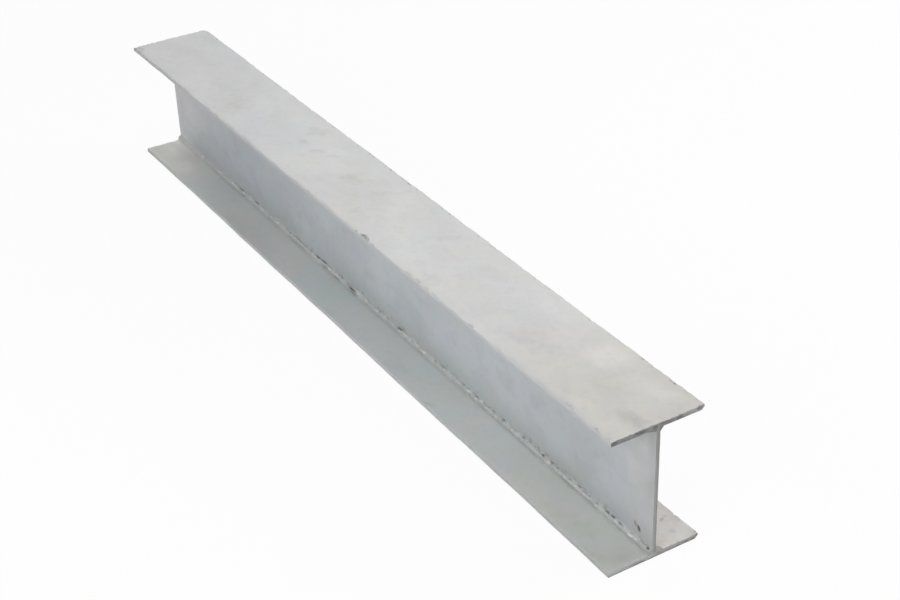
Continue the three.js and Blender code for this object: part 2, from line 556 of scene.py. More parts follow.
class SawnSteel(Finish):
    """Cut end: dark and patchy, with drag lines, and lighter over its upper part: zinc that has run
    over its arris, and painted light where the rubbed arris catches it.
    """

    def __init__(self, name, colour, patchiness):
        super().__init__(name)
        self.patches = self.clouds(0.008)
        self.lines = self.clouds(0.0008, 2.0, stretch=(1.0, 8.0, 1.0))
        self.lumps = self.clouds(0.0034, 2.0, stretch=(1.0, 2.0, 1.0))
        self.paint = shade(colour, 1.0 - patchiness)
        self.overlay(shade(colour, 1.0 + patchiness), patches=(0.36, 0.64))
        self.overlay(shade(colour, 0.75), lines=(0.42, 0.7, 0.0, 0.3))

    def zinc_run_and_light(self, colour, bare, coated, strength):
        """Lighter paint on the cut, as zinc run over the arris and as painted light: none below the
        bare height, all above the coated one.
        """
        ragged = work_out(self.tree, "MULTIPLY_ADD", self.patches, RUN_WANDER, self.z)
        mean = RUN_WANDER / 2
        self.overlay(colour, self.times(self.ramp(ragged, bare + mean, coated + mean), strength))

    def dark_spots(self, spots, soot):
        for across, up, half_width, half_height, strength in spots:
            sizes = (DARK_SPOT_DEPTH, half_width, half_height)
            self.overlay(soot, self.spot((NEAR_END, across, up), sizes, strength))

    def finished(self):
        self.bump((self.lines, 0.4, 0.0003), (self.patches, 0.3, 0.0008))
        return self.surface(self.where(patches=(0.3, 0.7, 0.5, 0.7)), 0.3)


def weld_zinc(name, colour, soot):
    """Lumpy weld metal: drops and a crest with a painted highlight, and pits and a line along the
    toes darkened as painted shade.
    """
    coat = Finish(name)
    grain = coat.clouds(0.0011, 2.0)
    shine = coat.attribute("shine")
    smudge = coat.spot((-0.437, -0.004, SEAM_TOP), (0.011, 0.010, 0.009), 0.22)
    fleck = coat.spot((-0.4285, -0.003, SEAM_TOP + 0.004), (0.005, 0.006, 0.004), 0.5)
    coat.paint = shade(colour, 0.90)
    coat.overlay(shade(colour, 1.05), coat.ramp(coat.clouds(0.011), 0.35, 0.65))
    coat.overlay(shade(colour, 0.8), coat.ramp(grain, 0.5, 0.75, 0.0, 0.3))
    # Painted highlight: the crest and the drops are painted lighter.
    coat.overlay([1.0 - 0.35 * (1.0 - part) for part in colour], shine)
    # Painted shade and painted light in the far part of the bead, which even it out with the
    # plates: darker from here on, and lighter towards the far end.
    coat.overlay(shade(colour, 0.96), x=(-0.36, -0.41, 0.0, 0.85))
    coat.overlay(shade(colour, 0.70), smudge)
    coat.overlay(shade(colour, 1.14), x=(-0.405, -0.475))
    coat.overlay(shade(colour, 1.30), fleck)
    # Painted shade in the crease along the toes.
    coat.overlay(shade(colour, 0.45), coat.attribute("toe"))
    # Painted shade in the pits.
    coat.overlay(soot, coat.attribute("pit"))
    coat.bump((grain, 0.25, 0.0003))
    return coat.surface(coat.ramp(shine, 0.0, 1.0, 0.6, 0.35), 0.25)


# ---- Plates ----

DARK_ZINC = (0.40, 0.395, 0.38)
PALE_ZINC = (0.74, 0.725, 0.695)
OLIVE_STAIN = (0.53, 0.535, 0.465)
MAUVE_STAIN = (0.42, 0.38, 0.42)
TOP_FACE = cad_high.z
WEB_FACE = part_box(WEB)[0].y  # the left one
MARK_DEPTH = 0.004

# Marks in the coat: place along and across the face, half length, half width, turn in degrees,
# colour and strength. In this and the other tables lengths are in millimetres and shares in
# percent.
TOP_MARKS = table(MARK_UNITS, (
    (485, -14.5, 23, 15, 20, DARK_ZINC, 58), (426, 6, 26, 42, 20, DARK_ZINC, 10),
    (452, 12, 30, 16, 20, DARK_ZINC, 6), (394, 26, 34, 28, 30, PALE_ZINC, 75),
    (466, 30, 22, 14, 20, PALE_ZINC, 38), (440, -36, 22, 8, 10, PALE_ZINC, 24),
    (336, -18, 50, 20, 15, DARK_ZINC, 20), (280, -8, 14, 6, 30, DARK_ZINC, 12),
    (205, 20, 20, 11, 30, DARK_ZINC, 11), (195, -38, 18, 11, 20, DARK_ZINC, 17),
    (135, 22, 22, 10, 35, DARK_ZINC, 15), (22, 22, 34, 8, 55, DARK_ZINC, 20),
    (33, 37, 16, 5, 55, PALE_ZINC, 45), (29, -30, 12, 8, 50, DARK_ZINC, 26),
    (8, -4, 36, 20, 55, OLIVE_STAIN, 16), (-20, 10, 34, 7, 55, OLIVE_STAIN, 30),
    (-37, 4, 13, 10, 40, DARK_ZINC, 34), (-94, 12, 10, 6, 40, DARK_ZINC, 26),
    (-114, 1, 14, 8, 60, DARK_ZINC, 24), (-140, 1, 12, 9, 30, DARK_ZINC, 22),
    (-156, 26, 19, 11, 30, DARK_ZINC, 24), (-278, -18, 30, 9, -20, OLIVE_STAIN, 34),
    (-295, -18, 70, 36, -20, DARK_ZINC, 12), (-490, -15, 18, 11, 0, OLIVE_STAIN, 22),
    (-468, 37, 34, 11, -10, DARK_ZINC, 8), (-490, -45, 14, 5, 10, DARK_ZINC, 45),
))
BOTTOM_MARKS = table(MARK_UNITS, (
    (470, -45, 26, 8, 10, OLIVE_STAIN, 30), (428, -34, 46, 15, 15, OLIVE_STAIN, 22),
    (195, -45, 15, 6, 15, DARK_ZINC, 30), (120, -39, 30, 10, 20, DARK_ZINC, 15),
))
FOOT_MARKS = table(MARK_UNITS, (
    (464, 40, 3.5, 2.8, -65, MAUVE_STAIN, 60), (466.5, 34.5, 6, 3.2, -65, MAUVE_STAIN, 50),
    (486, 32.5, 5.5, 4, 0, MAUVE_STAIN, 28),
))
WEB_MARKS = table(MARK_UNITS, (
    (468, 86, 15, 26, 0, PALE_ZINC, 20), (408, 54, 20, 7, -40, DARK_ZINC, 18),
    (272, 53, 18, 6, -40, DARK_ZINC, 16), (258, 77, 11, 7, 0, DARK_ZINC, 14),
    (173, 55, 18, 7, -40, DARK_ZINC, 16), (40, 70, 14, 8, -30, DARK_ZINC, 8),
    (-75, 60, 22, 10, -40, DARK_ZINC, 10), (-205, 48, 26, 9, -40, DARK_ZINC, 12),
))

# Single bites in the upper arris: place along the beam, how far each reaches towards the far end
# and towards the near end, its depth as a share of the deepest one, and how dark its hollow is
# painted, as soot and painted shade.
TOP_LEFT_BITES = table(BITE_UNITS, (
    (-497, 3, 6, 20, 60), (-484, 5, 6, 20, 35), (-470, 6, 6, 15, 15), (-336, 22, 6, 50, 0),
    (-283, 12, 10, 40, 0), (-264, 8, 12, 55, 0), (-224, 12, 14, 25, 0), (-188, 10, 16, 42, 0),
    (-149, 12, 12, 22, 0), (-114, 12, 14, 28, 0), (-60, 24, 14, 32, 0), (-38, 6, 16, 42, 10),
    (2, 12, 22, 45, 0), (48, 12, 10, 30, 0), (67, 4, 4, 30, 40), (83, 12, 14, 100, 68),
    (100, 6, 7, 40, 25), (135, 10, 12, 15, 0), (171, 12, 6, 45, 22), (187, 9, 6, 55, 42),
    (203, 9, 6, 80, 10), (214, 4, 20, 70, 0), (253, 14, 12, 50, 0), (284, 11, 6, 60, 25),
    (331, 18, 6, 50, 0), (351, 7, 14, 45, 12), (396, 22, 8, 65, 12), (425, 8, 10, 35, 0),
    (441, 24, 5, 95, 22), (477, 6, 10, 35, 30), (494, 5, 6, 30, 22),
))
TOP_RIGHT_BITES = table(BITE_UNITS, (
    (-500, 1, 10, 100, 0), (-372, 4, 5, 15, 20), (-247, 4, 5, 15, 20), (-158, 5, 4, 18, 20),
    (-15, 6, 4, 20, 30), (12, 7, 6, 30, 70), (28, 5, 4, 20, 50), (179, 5, 4, 20, 30),
    (258, 5, 4, 20, 30), (338, 6, 3, 25, 40), (382, 4, 4, 20, 30), (431, 6, 4, 30, 50),
    (462, 4, 3, 30, 70),
))
BOTTOM_RIGHT_BITES = table(BITE_UNITS, (
    (405, 6, 4, 20, 30), (452, 6, 4, 15, 20), (467.5, 3.5, 2, 35, 0), (475, 3, 3, 15, 45),
    (498, 4, 2, 0, 70),
))


def nicks(seed, pitch, deepest, darkest):
    """Small bites at uneven places all along an edge."""
    rng = random.Random(seed)
    bites = []
    x = FAR_END + pitch * rng.random()
    while x < NEAR_END:
        before, after = rng.uniform(0.002, 0.006), rng.uniform(0.002, 0.004)
        bites.append((x, before, after, deepest * rng.uniform(0.3, 1.0), darkest * rng.random()))
        x += pitch * rng.uniform(0.4, 1.6)
    return tuple(bites)


# Cut edges of both flanges: how much of the stray and of the chips each has, and its bites.
CUT_EDGES = {
    TOP_FLANGE: (
        (LEFT, 0.3, 0.6, 0.0, TOP_LEFT_BITES + nicks(11, 0.025, 0.12, 0.15)),
        (RIGHT, 0.4, 0.9, 1.0, TOP_RIGHT_BITES + nicks(5, 0.018, 0.30, 0.60)),
    ),
    BOTTOM_FLANGE: (
        (LEFT, 0.4, 0.5, 0.0, nicks(9, 0.030, 0.10, 0.0)),
        (RIGHT, 0.2, 0.6, 0.9, BOTTOM_RIGHT_BITES + nicks(7, 0.017, 0.16, 0.40)),
    ),
}

# Scratches in the web near its foot: place along and up the web, half sizes and strength.
WEB_SCRATCHES = table(SMALL_UNITS, (
    (475.2, 23, 3.4, 4.4, 42), (480.3, 20.2, 3.4, 5.2, 85),
))

# Reach of the torch's work and of the painted shade in its bites, in from the edge or the end and
# down from the upper arris.
EDGE_REACH, BITE_SHADE_REACH, TOOTH_REACH = 0.011, 0.0046, 0.004
ARRIS_DROP, TOOTH_DROP = 0.004, 0.0016

RIM_COLUMNS = (0.0006, 0.0014, 0.0026, 0.0045, 0.008, 0.015, 0.028)
THICKNESS_ROWS = (0.0006, 0.0016)
END_STATIONS = (0.001,)
END_COLUMNS = 70
WEB_COLUMNS = (0.0006,)
WEB_ROWS = (0.004, 0.009, 0.016, 0.026, 0.038, 0.052)


def grid_plate(node, low, high, columns, rows, station):
    """Plate as a fine grid: denser at its edges and ends, then sliced along its length."""
    piece = box_piece("coated_" + node, low, high)
    cut_across(piece, 1, columns)
    cut_across(piece, 2, rows)
    cut_across(piece, 0, from_both_sides(low.x, high.x, END_STATIONS))
    slice_along(piece, station)
    return piece


def refine_ends(piece, low, high):
    """Adds columns to both ends alone, so that their cuts can wander."""
    inside = NEAR_END - 1.5 * END_STATIONS[0]
    width = high.y - low.y

    def is_at_end(edge):
        return all(abs(vertex.co.x) > inside for vertex in edge.verts)

    select_parts(piece, "EDGE", is_at_end)
    bpy.ops.mesh.hide(unselected=True)
    cut_across(piece, 1, [low.y + width * step / END_COLUMNS for step in range(1, END_COLUMNS)])
    go_to("EDIT")
    bpy.ops.mesh.reveal(select=False)
    go_to("OBJECT")


def rub_down_ends(piece, low, high, settings):
    """Rubs the arrises of both cut ends down, most along the upper one."""
    arris = settings.end_arris
    places = [vertex.co.copy() for vertex in piece.data.vertices]
    on_rim = [
        min(place.y - low.y, high.y - place.y, place.z - low.z, high.z - place.z) < 1e-5
        for place in places
    ]
    for name, end, inward in (("far_rim", FAR_END, 1.0), ("near_rim", NEAR_END, -1.0)):
        rim = [float(rim and abs(place.x - end) < 1e-6) for rim, place in zip(on_rim, places)]
        upper = [share * bell(high.z - place.z, 0.0, 0.001) for share, place in zip(rim, places)]
        relief(piece, name, rim, inward * arris, "X", settings.chip_size)
        relief(piece, "upper_" + name, upper, -0.5 * arris, "Z")


def ragged_cuts(piece, high, raggedness, settings):
    """Eats into the upper arris of both cut ends, but for where the web and the welds end."""
    places = [vertex.co.copy() for vertex in piece.data.vertices]
    cuts = (("far_cut", FAR_END, settings.far_cut), ("near_cut", NEAR_END, -settings.near_cut))
    for name, end, depth in cuts:
        weights = []
        for place in places:
            at_end = bell(place.x, end, TOOTH_REACH) * bell(place.z, high.z, TOOTH_DROP)
            at_end *= raggedness * smooth_step(abs(place.y), 0.004, 0.010)
            wander = 0.6 * noise.noise(Vector((place.y * 110.0, place.z * 90.0, end)))
            wander += noise.noise(Vector((place.y * 330.0, place.z * 200.0, end)))
            weights.append(at_end * max(0.0, 0.30 + 1.4 * wander))
        relief(piece, name, weights, depth, "X")


def bite_at(x, bins):
    """Depth and soot of the bites at a place along the arris."""
    depth, soot = 0.0, 0.0
    for middle, before, after, share, darkness in bins.get(round(x * BINS_PER_METRE), ()):
        away = (middle - x) / before if x < middle else (x - middle) / after
        depth = max(depth, share * (1.0 - smooth_step(away, 0.0, 1.0)))
        soot = max(soot, darkness * (1.0 - smooth_step(away, 0.2, 1.0)))
    return depth, soot


def cut_edge(piece, name, side, top, stray, chips, slant, bites, settings):
    """Strays, chips and bites in one long edge. Returns how dark each point is painted in the
    bites, with soot and painted shade.
    """
    rim, arris, slanted, bitten, grime = [], [], [], [], []
    bites = in_bins(bites)
    for vertex in piece.data.vertices:
        place = vertex.co
        gap = HALF_WIDTH - side * place.y
        near_edge = 1.0 - smooth_step(gap, 0.001, EDGE_REACH)
        depth, soot = bite_at(place.x, bites) if gap < EDGE_REACH else (0.0, 0.0)
        near_top = bell(top - place.z, 0.0, ARRIS_DROP)
        rim.append(near_edge)
        arris.append(near_edge * near_top)
        under = smooth_step(top - place.z, 0.0004, 0.0046)
        under *= 0.35 + 0.65 * smooth_step(place.x, 0.38, 0.47)
        slanted.append(near_edge * slant * under)
        bitten.append(depth * near_edge * (0.3 + 0.7 * near_top))
        flecks = 0.85 + 0.8 * noise.noise(place * 420.0)
        # Dark paint in the bite's hollow: soot and painted shade.
        dark_share = soot * flecks * near_top * (1.0 - smooth_step(gap, 0.0008, BITE_SHADE_REACH))
        grime.append(max(0.0, dark_share))
    for weights, label, height, way, clouds_size in (
        (rim, "_edge", -side * stray * settings.stray, "Y", settings.stray_size),
        (rim, "_chips", -side * chips * settings.chip, "Y", settings.chip_size),
        (arris, "_arris", -settings.droop, "Z", 2.0 * settings.chip_size),
        (bitten, "_bites", -side * settings.bite, "Y", None),
        (slanted, "_slant", -side * settings.slant, "Y", None),
    ):
        relief(piece, name + label, weights, height, way, clouds_size)
    return grime


def torch_cut_edges(piece, node, settings):
    """Shapes both long edges and paints them: edge is 1 on the sides, and the bites' mask is 1
    where soot and painted shade darken them.
    """
    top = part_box(node)[1].z
    grime = [0.0] * len(piece.data.vertices)
    for name, (side, stray, chips, slant, bites) in zip(("left", "right"), CUT_EDGES[node]):
        soot = cut_edge(piece, name, side, top, stray, chips, slant, bites, settings)
        grime = list(map(max, grime, soot))
    edge = [smooth_step(abs(vertex.normal.y), 0.35, 0.75) for vertex in piece.data.vertices]
    paint_attribute(piece, "edge", edge)
    paint_attribute(piece, "grime", grime)


class BEAM_OT_flange_plates(bpy.types.Operator):
    """Model both flange plates with their torch-cut edges and their zinc coat"""

    bl_idname = "beam.flange_plates"
    bl_label = "Flange Plates"

    def execute(self, context):
        settings = context.scene.beam_plates
        finish = context.scene.beam_finish
        dressings = {
            TOP_FLANGE: (top_coat(finish), top_end(finish), 1.0),
            BOTTOM_FLANGE: (bottom_coat(finish), bottom_end(finish), 0.5),
        }
        for node, (coat, sawn_end, raggedness) in dressings.items():
            low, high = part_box(node)
            columns = from_both_sides(low.y, high.y, RIM_COLUMNS)
            rows = from_both_sides(low.z, high.z, THICKNESS_ROWS)
            piece = grid_plate(node, low, high, columns, rows, settings.station)
            refine_ends(piece, low, high)
            rub_down_ends(piece, low, high, settings)
            wrap_to_node(piece, node)
            torch_cut_edges(piece, node, settings)
            ragged_cuts(piece, high, raggedness, settings)
            hand_over(piece, node, coat, sawn_end, SMOOTH_PLATE)
        return {"FINISHED"}


def top_coat(settings):
    """Coat of the top flange: warm and cloudy at the near end, cool at the far end, with painted
    light and painted shade in zones along it.
    """
    coat = ZincCoat("top_flange_zinc", settings.top_zinc, settings, 1.8)
    # Painted light and painted shade along the top: a warmer, dimmer near end, a dimmer far part
    # and a lighter band between.
    coat.stain((0.985, 0.966, 0.925), x=(0.28, 0.42))
    coat.stain((0.975, 0.973, 0.968), x=(0.39, 0.43))
    coat.stain((0.955, 0.96, 0.965), x=(-0.10, -0.35))
    coat.stain((1.026, 1.025, 1.025), coat.band(0.22, 0.24))
    blue = coat.spot((-0.180, -0.022, TOP_FACE), (0.095, 0.060, 0.004))
    coat.stain((0.950, 0.962, 0.974), blue)
    coat.stain((1.030, 1.030, 1.031), y=(-0.012, 0.034))
    # Painted shade at the near end.
    coat.stain((0.950, 0.950, 0.958), x=(0.450, 0.475), y=(-0.002, 0.012))
    coat.stain((0.965, 0.963, 0.965), x=(0.474, 0.492))
    coat.stain((0.970, 0.985, 1.010), x=(0.28, 0.36), y=(-0.040, -0.046))
    along, across = (8.0, 1.0, 1.0), (0.0, 0.0, math.radians(62.0))
    streaks = coat.clouds(0.0045, 2.0, along, across)
    coat.stain((0.984, 0.984, 0.982), coat.ramp(streaks, 0.55, 0.75))
    coat.marks(TOP_MARKS, TOP_FACE)
    return coat.finished()


def bottom_coat(settings):
    """Coat of the bottom flange: greenish grey on the left and beige on the right, with painted
    light and painted shade in zones along it.
    """
    zinc = settings.bottom_zinc
    coat = ZincCoat("bottom_flange_zinc", zinc, settings, 0.5, (0.05, 0.50, 0.84))
    coat.overlay(settings.beige_zinc_and_light, y=(0.0, 0.004), flow=(0.35, 0.65, 0.75, 1.0))
    left = coat.where(y=(0.004, -0.004, 0.25, 1.0))
    # Painted light at the far end on the left, warmer and lighter, where light falls in past the
    # web's end.
    coat.stain((1.0, 0.967, 0.932), left, x=(-0.36, -0.46))
    coat.stain((1.075, 1.075, 1.075), left, x=(-0.35, -0.43))
    # Painted light at the far outer corner and in a band further along.
    coat.stain((1.07, 1.06, 1.05), x=(-0.44, -0.475), y=(-0.046, -0.026))
    coat.stain((1.03, 1.03, 1.03), coat.band(0.29, 0.10))
    coat.stain((1.024, 1.026, 1.024), y=(-0.042, -0.020))
    # Painted light on the right towards the near cut, which lifts the shade of the web and the top
    # flange there.
    near_cut = coat.where(x=(0.502, 0.478, 0.3, 1.0))
    coat.stain((1.160, 1.158, 1.183), near_cut, x=(0.38, 0.45), y=(0.002, 0.008))
    coat.stain((0.890, 0.895, 0.905), y=(0.029, 0.046))
    coat.stain((0.985, 1.005, 1.035), x=(0.470, 0.492), y=(0.012, 0.036))
    # Painted shade and painted light in spots along the left side.
    for tinge, x, y, half_length, half_width in (
        ((0.925, 0.918, 0.920), -0.225, -0.050, 0.110, 0.034),
        ((0.935, 0.930, 0.925), -0.478, -0.037, 0.038, 0.014),
        ((1.07, 1.06, 1.05), -0.424, -0.031, 0.026, 0.018),
    ):
        coat.stain(tinge, coat.spot((x, y, SEAM_TOP), (half_length, half_width, MARK_DEPTH)))
    coat.hues = coat.clouds(0.06, 1.0)
    coat.stain((1.030, 1.0, 0.986), hues=(0.40, 0.62), y=(0.01, 0.0))
    coat.stain((0.972, 1.0, 1.014), coat.band(0.05, 0.28))
    # Painted light at the far end by the foot of the web, which lifts the shade in the corner
    # there.
    coat.stain((1.15, 1.14, 1.14), x=(-0.425, -0.490), y=(-0.018, -0.008))
    # Painted light over the middle of the flange.
    coat.stain((1.032, 1.034, 1.030), x=(0.02, 0.24))
    coat.stain((1.005, 0.998, 0.975), x=(0.28, 0.42))
    # Painted shade at the near end on the left, which dims the light that its rubbed arris catches.
    coat.stain((0.88, 0.875, 0.875), x=(0.474, 0.498), y=(-0.010, -0.030))
    # Painted shade in the crease along the weld's toe, faint in the far part.
    toe = coat.where(x=(-0.42, -0.36, 0.0, 0.16), y=(-0.0095, -0.0065))
    coat.overlay(shade(zinc, 0.3), toe, dapple=(0.3, 0.6, 0.4, 1.0))
    coat.marks(BOTTOM_MARKS, SEAM_TOP)
    coat.marks(FOOT_MARKS, SEAM_TOP, push=0.005)
    return coat.finished()


# Dark spots on the near ends of both flanges: place across and up, half width, half height,
# strength.
TOP_END_DARK_SPOTS = table(SMALL_UNITS, (
    (-46, 143, 5, 3, 60), (-36, 142, 6, 1.6, 25), (-19, 143, 10, 2.4, 55),
    (-4, 142.2, 4, 2.2, 40), (6, 143.2, 6, 2.2, 40), (13, 142, 5, 2, 35),
    (22, 142.5, 6.4, 2.4, 55), (43.5, 143.5, 4.6, 2.2, 60), (49, 143.2, 3.6, 2.6, 60),
))
BOTTOM_END_DARK_SPOTS = table(SMALL_UNITS, (
    (-19, 2, 12, 2.6, 30), (-12, 1.4, 4, 1.6, 40), (16, 1.4, 4, 1.6, 25), (27, 1.6, 4.2, 1.6, 25),
    (35, 1.8, 5, 1.8, 35), (43, 2.2, 3.4, 1.8, 35), (48.5, 3.2, 3.6, 3, 70),
))


def top_end(settings):
    """Cut end of the top flange: darker on the left, with a thin lighter run along the top, of zinc
    and of painted light on the rubbed arris.
    """
    steel = settings.cut_steel
    end = SawnSteel("sawn_top_end", shade(steel, 1.08), 0.20)
    end.overlay(shade(steel, 0.93), y=(0.010, -0.030, 0.0, 0.85))
    end.overlay(shade(steel, 1.35), y=(0.018, 0.034, 0.0, 0.9))
    end.overlay(shade(steel, 0.55), lumps=(0.56, 0.70, 0.0, 0.6))
    end.zinc_run_and_light(shade(settings.top_zinc, 0.80), TOP_FACE - 0.0012, TOP_FACE + 0.0004, 0.7)
    end.dark_spots(TOP_END_DARK_SPOTS, settings.soot)
    return end.finished()


def bottom_end(settings):
    """Cut end of the bottom flange: lighter over most of it on the left and less on the right, as
    zinc run over the arris and as painted light on its upper part.
    """
    steel = settings.cut_steel
    end = SawnSteel("sawn_bottom_end", steel, 0.18)
    end.overlay(shade(steel, 0.65), lumps=(0.54, 0.68, 0.0, 0.7))
    end.overlay(shade(steel, 1.22), y=(0.0, 0.012, 0.0, 0.75))
    on_left, on_right = end.where(y=(0.006, -0.004)), end.where(y=(-0.004, 0.006))
    end.zinc_run_and_light(shade(settings.bottom_zinc, 0.81), 0.0004, 0.0024, on_left)
    end.zinc_run_and_light(shade(settings.beige_zinc_and_light, 0.80), 0.0016, 0.0072, on_right)
    end.dark_spots(BOTTOM_END_DARK_SPOTS, settings.soot)
    return end.finished()


def web_end():
    """Cut end of the web: lighter on the left, and most so low down."""
    end = SawnSteel("sawn_web_end", (0.345, 0.355, 0.342), 0.10)
    end.overlay((0.445, 0.455, 0.440), y=(0.0012, -0.0014), z=(0.125, 0.095, 0.25, 0.9))
    return end.finished()


def web_coat(settings):
    """Coat of the web: bluish, olive and darker towards its foot over the welds, with painted light
    and painted shade in zones along it, and two scratches.
    """
    coat = ZincCoat("web_zinc", settings.web_zinc, settings, 2.6)
    # Olive and darker towards the foot, over the welds: an olive tint, and painted shade that
    # deepens towards the corner with the bottom flange.
    olive_foot_shade = coat.where(z=(SEAM_TOP + 0.034, SEAM_TOP + 0.004, 0.0, 0.72), x=(-0.42, 0.35, 0.55, 1.0))
    coat.stain((0.83, 0.825, 0.775), olive_foot_shade, flow=(0.35, 0.6, 0.45, 1.0))
    # Painted shade towards the near end; warmer by the near cut.
    coat.stain((0.972, 0.967, 0.967), x=(0.24, 0.40))
    coat.stain((1.02, 0.985, 0.95), x=(0.455, 0.480, 0.0, 0.7))
    # Painted light at the far end, where light falls in at the open end, and low down in the far
    # part.
    left = coat.where(y=(0.001, -0.001, 0.25, 1.0))
    coat.stain((1.165, 1.150, 1.135), left, x=(-0.415, -0.480))
    coat.stain((1.070, 1.025, 1.035), left, x=(-0.36, -0.42), z=(0.035, 0.055))
    coat.stain((1.19, 1.16, 1.13), x=(-0.450, -0.485), z=(0.032, 0.010))
    # Painted light high up by the near cut, against the shade under the top flange, and painted
    # shade lower down by the cut.
    near_cut = coat.where(x=(0.497, 0.484))
    coat.stain((1.165, 1.155, 1.150), near_cut, x=(0.445, 0.470), z=(0.096, 0.114))
    coat.stain((0.935, 0.930, 0.925), x=(0.486, 0.496), z=(0.05, 0.08))
    # Painted light at the far corner, and painted shade over the far part of the foot.
    far_corner = (FAR_END, WEB_FACE, 0.125), (0.20, 1.0, 0.13)
    coat.stain((1.05, 1.03, 1.02), coat.spot(*far_corner, fade=(0.15, 0.75), turn=about_y(-22.0)))
    far_foot = (-0.345, WEB_FACE, 0.035), (0.16, 1.0, 0.045)
    coat.stain((0.945, 0.952, 0.955), coat.spot(*far_foot, turn=about_y(-14.0)))
    # Painted light and painted shade in bands along the web.
    for tinge, band in (
        ((1.035, 1.035, 1.04), (-0.12, 0.06)),
        ((1.03, 1.03, 1.035), (0.075, 0.045)),
        ((1.045, 1.05, 1.05), (0.05, 0.30)),
        ((0.965, 0.975, 0.985), (-0.31, 0.15, 0.8)),
    ):
        coat.stain(tinge, coat.band(*band))
    smears = coat.clouds(0.0032, 2.0, (1.0, 1.0, 2.2), about_y(-38.0))
    foot = coat.where(z=(SEAM_TOP + 0.0125, SEAM_TOP + 0.006), x=(-0.38, -0.30))
    coat.stain((0.62, 0.62, 0.59), coat.ramp(smears, 0.55, 0.70), foot)
    coat.marks(WEB_MARKS, WEB_FACE, axis=1)
    for x, z, half_width, half_length, strength in WEB_SCRATCHES:
        place, sizes = (x, WEB_FACE, z), (half_width, 0.003, half_length)
        coat.overlay(coat.soot, coat.spot(place, sizes, strength, (0.05, 0.7), about_y(-24.0)))
    return coat.finished()


class BEAM_OT_web_plate(bpy.types.Operator):
    """Model the web plate, which stands between the flanges"""

    bl_idname = "beam.web_plate"
    bl_label = "Web Plate"

    def execute(self, context):
        settings = context.scene.beam_plates
        low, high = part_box(WEB)
        low.z = SEAM_TOP
        high.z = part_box(TOP_FLANGE)[0].z
        columns = from_both_sides(low.y, high.y, WEB_COLUMNS)
        rows = from_both_sides(low.z, high.z, WEB_ROWS)
        piece = grid_plate(WEB, low, high, columns, rows, settings.web_station)
        rub_down_ends(piece, low, high, settings)
        for name in ("edge", "grime"):
            paint_attribute(piece, name, [0.0] * len(piece.data.vertices))
        coat = web_coat(context.scene.beam_finish)
        hand_over(piece, WEB, coat, web_end(), SMOOTH_PLATE)
        return {"FINISHED"}


# ---- Weld beads ----

# Spots on a bead: place along the beam, length, strength, share of the way from the toe on the
# flange to the toe on the web, and lean along the beam.
LARGE_PITS = table(BEAD_UNITS, (
    (-318, 10, 60, 90, 6), (-308, 8, 45, 25, 0), (-276, 8, 60, 94, 4), (-166, 16, 40, 96, 0),
    (-119, 6, 95, 86, -4), (-106, 14, 75, 93, 4), (-100, 12, 40, 22, 0), (-70, 12, 35, 20, 0),
    (-63, 5, 70, 92, -5), (-37, 12, 95, 52, 0), (-33, 14, 45, 18, 0), (21, 5, 45, 92, -5),
    (66, 7, 90, 90, -2), (152, 8, 35, 95, 3), (192, 4, 35, 95, 4), (206, 4, 30, 40, 0),
    (217, 4, 55, 82, 6), (247, 5, 35, 90, 3), (265, 4, 70, 88, -3), (300, 4, 40, 88, 0),
    (333, 4, 75, 82, 2), (348, 5, 55, 88, 3), (357, 4, 45, 82, 0), (392, 5, 55, 88, 3),
    (399, 4, 40, 78, 0), (430, 4, 50, 98, -4), (436, 5, 70, 80, -3), (444, 5, 70, 80, 0),
    (455, 5, 55, 76, -3), (489, 4, 30, 80, 0), (495.5, 3.5, 95, 66, 1),
))
LARGE_DROPS = table(BEAD_UNITS, (
    (-380, 12, 45, 62, 0), (-335, 14, 60, 60, 0), (-309, 6, 60, 66, 0), (-236, 6, 50, 60, 0),
    (-218, 6, 85, 72, 8), (-185, 7, 50, 72, 0), (-156, 7, 45, 60, 0), (-128, 6, 80, 62, 0),
    (-89, 6, 90, 58, 0), (-73, 8, 90, 64, -3), (-26, 5, 75, 95, 4), (-6, 6, 60, 64, 3),
    (11, 4, 60, 95, -3), (79, 5, 75, 64, 0), (102, 5, 50, 70, 0), (117, 6, 90, 56, 0),
    (184, 5, 45, 64, 2), (204, 8, 65, 66, -10), (226, 4, 55, 80, 5), (236, 4, 80, 56, 0),
    (344, 4, 60, 45, 4), (378, 8, 45, 52, 0), (408, 5, 40, 52, 0), (421, 4, 50, 40, 4),
    (449, 4, 95, 56, -8), (472, 5, 90, 42, 0), (480, 4, 60, 55, 3), (490, 4, 50, 98, 3),
))

LEFT_FOOT_BEAD = "weld_bead_bottom_left"
BEADS = (LEFT_FOOT_BEAD, "weld_bead_bottom_right", "weld_bead_top_left", "weld_bead_top_right")
FIRST_SEED = 3
# The bevel that rounds the crown: its offset in percent, its strips and its profile.
CROWN_OFFSET, CROWN_STRIPS, CROWN_PROFILE = 97.0, 12, 0.36
THIN_UP_TO = 0.13  # place along the beam up to which the large pits and drops stand apart
SPOT_REACH = 0.22  # half the height of a spot, as a share of the way across the bead
CREST_SHARE = 0.62  # share of the way across the bead at which its crest runs
BEGIN_SPAN = (-0.43, -0.37)  # where the left bead at the foot begins to be lumpy
CLEAN_SPAN = (0.10, 0.40)  # where the painted shade along its toe grows stronger towards the near end
TRIM_SPAN = (NEAR_END - 0.022, NEAR_END - 0.006)
TRIM_HOLLOW = 0.0009  # how far the face sinks in between the trimmed toes

# At the near cut the toes of the upper beads lie further out or in: along the flange and down.
NEAR_TRIMS = {"weld_bead_top_left": (0.0028, -0.0027), "weld_bead_top_right": (-0.0017, -0.0025)}


